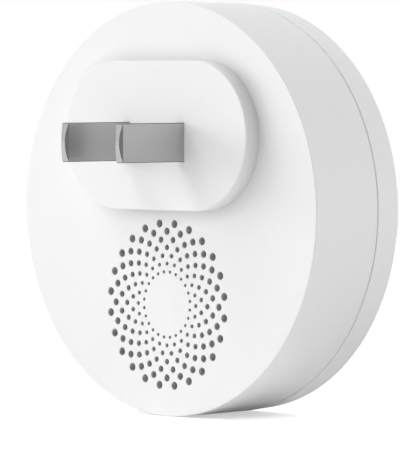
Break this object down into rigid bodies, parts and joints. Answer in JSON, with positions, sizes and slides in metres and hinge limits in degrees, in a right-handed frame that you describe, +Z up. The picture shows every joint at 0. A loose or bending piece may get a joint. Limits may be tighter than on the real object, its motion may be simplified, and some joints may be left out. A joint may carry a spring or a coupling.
{
  "type": "ultrasonic pest repeller",
  "caption": "Round plug-in ultrasonic pest repeller with flat plug blades on a raised boss, a round sound grille behind and a push button in front.",
  "frame": {"origin": "centre of the plug boss's flat face; the two blades stand left and right of it, 1.05 mm lower", "axes": "+Y points out of the boss face towards the wall, along the blades; -Y points into the room; +Z up"},
  "size_m": [0.068, 0.0379, 0.068],
  "materials": {
    "shell_white": "satin white moulded plastic, fine spark texture",
    "cover_white": "satin white moulded plastic, fine spark texture",
    "button_white": "smooth white plastic, soft gloss",
    "insulator_black": "flame-retardant black moulding",
    "frame_black": "black moulded plastic",
    "screw_steel": "zinc-plated steel",
    "blade_nickel": "nickel-plated brass, satin",
    "spring_bronze": "phosphor bronze strip",
    "board_green": "green solder mask over glass epoxy",
    "mesh_black": "fine woven acoustic mesh",
    "foam_black": "closed-cell foam",
    "diaphragm_aluminium": "thin pressed aluminium foil",
    "piezo_ceramic": "brass disc with silvered ceramic",
    "terminal_tin": "tinned metal",
    "lead_red": "vinyl wire insulation",
    "lead_black": "vinyl wire insulation",
    "film_yellow": "moulded box, epoxy filled",
    "can_sleeve": "shrink sleeve over an aluminium can",
    "resistor_grey": "flameproof lacquer",
    "varistor_blue": "epoxy lacquer",
    "ferrite_dark": "ferrite drum with lacquered winding",
    "chip_black": "moulded epoxy",
    "led_clear": "clear epoxy",
    "lens_clear": "clear polycarbonate"
  },
  "bodies": {
    "housing": {"rear_shell": "shell_white", "front_cover": "cover_white", "blade_carrier": "insulator_black", "blade_retainer": "insulator_black", "retainer_screws": "screw_steel", "plug_blade_left": "blade_nickel", "plug_blade_right": "blade_nickel", "contact_clip_left": "spring_bronze", "contact_clip_right": "spring_bronze", "main_board": "board_green", "board_screws": "screw_steel", "dust_mesh": "mesh_black", "transducer_gasket": "foam_black", "transducer_diaphragm": "diaphragm_aluminium", "piezo_disc": "piezo_ceramic", "transducer_frame": "frame_black", "transducer_terminals": "terminal_tin", "transducer_lead_red": "lead_red", "transducer_lead_black": "lead_black", "film_capacitor": "film_yellow", "filter_capacitor": "can_sleeve", "storage_capacitor": "can_sleeve", "fusible_resistor": "resistor_grey", "surge_varistor": "varistor_blue", "drive_inductor": "ferrite_dark", "bridge_rectifier": "chip_black", "driver_chip": "chip_black", "drive_transistors": "chip_black", "timing_crystal": "terminal_tin", "status_led": "led_clear", "indicator_lens": "lens_clear", "tact_switch": "frame_black"},
    "button": {"mode_button": "button_white", "switch_plunger": "insulator_black"}
  },
  "joints": [
    {"name": "button_press", "type": "slide", "parent": "housing", "child": "button", "axis": [0, 1, 0], "range_m": [0, 0.0005], "stiffness_N_per_m": 1200, "springref_m": -0.0004}
  ]
}
